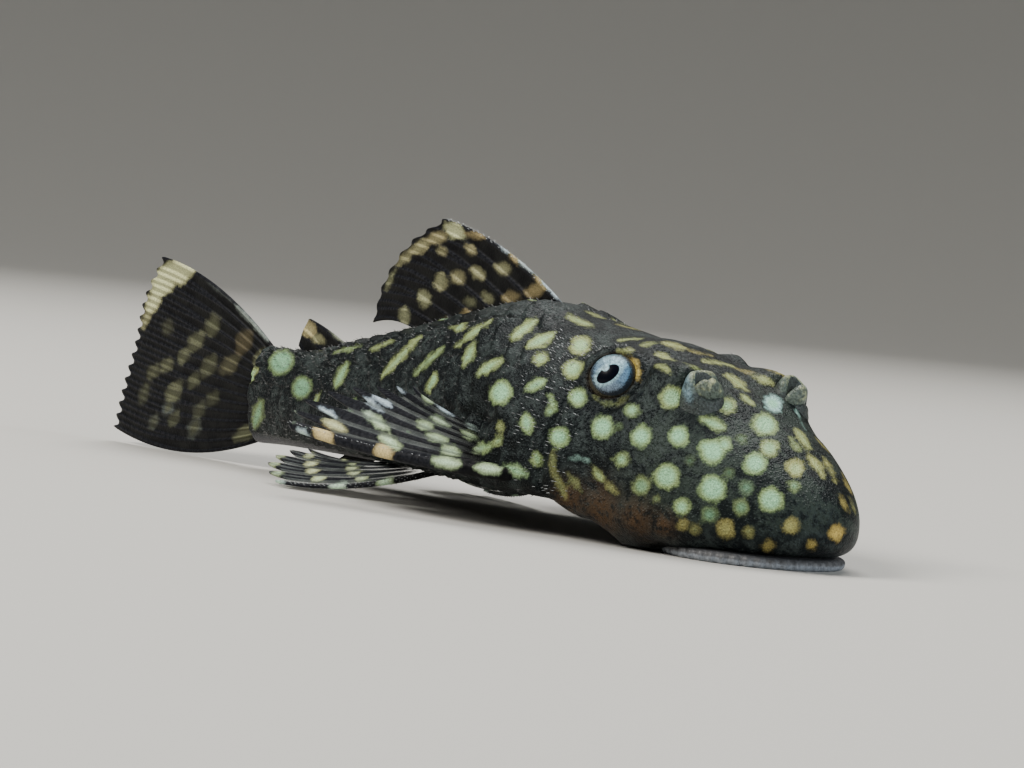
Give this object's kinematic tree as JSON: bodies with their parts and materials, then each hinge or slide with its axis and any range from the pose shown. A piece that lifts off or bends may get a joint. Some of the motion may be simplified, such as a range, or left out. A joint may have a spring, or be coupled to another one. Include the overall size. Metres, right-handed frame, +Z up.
{
  "type": "bristlenose pleco",
  "caption": "Life-size still model of a young armoured catfish resting on its sucker mouth, with plated flanks and raised dorsal, side, belly and tail fins.",
  "frame": {"origin": "on the floor that the fish rests on, under the centre of its bounding box", "axes": "+X from the tail towards the snout, +Y the fish's left, +Z up"},
  "size_m": [0.067, 0.0226, 0.0164],
  "materials": {
    "skin": "near-black, slightly bluish living skin and bony plates with round pale yellow-green spots, satin",
    "fins": "dark rays and smoky membrane with bands of cream spots, satin",
    "lips": "pale bluish-grey soft lip, slightly rough with fine bumps",
    "eyes": "wet pale blue iris with a black crescent pupil, glossy"
  },
  "bodies": {
    "root": {"head": "skin", "trunk": "skin", "tail_base": "skin", "gill_cover_right": "skin", "gill_cover_left": "skin", "mouth": "lips", "eye_right": "eyes", "eye_left": "eyes", "dorsal_fin": "fins", "adipose_fin": "fins", "caudal_fin": "fins", "anal_fin": "fins", "pectoral_fin_right": "fins", "pectoral_fin_left": "fins", "pelvic_fin_right": "fins", "pelvic_fin_left": "fins"}
  },
  "joints": []
}
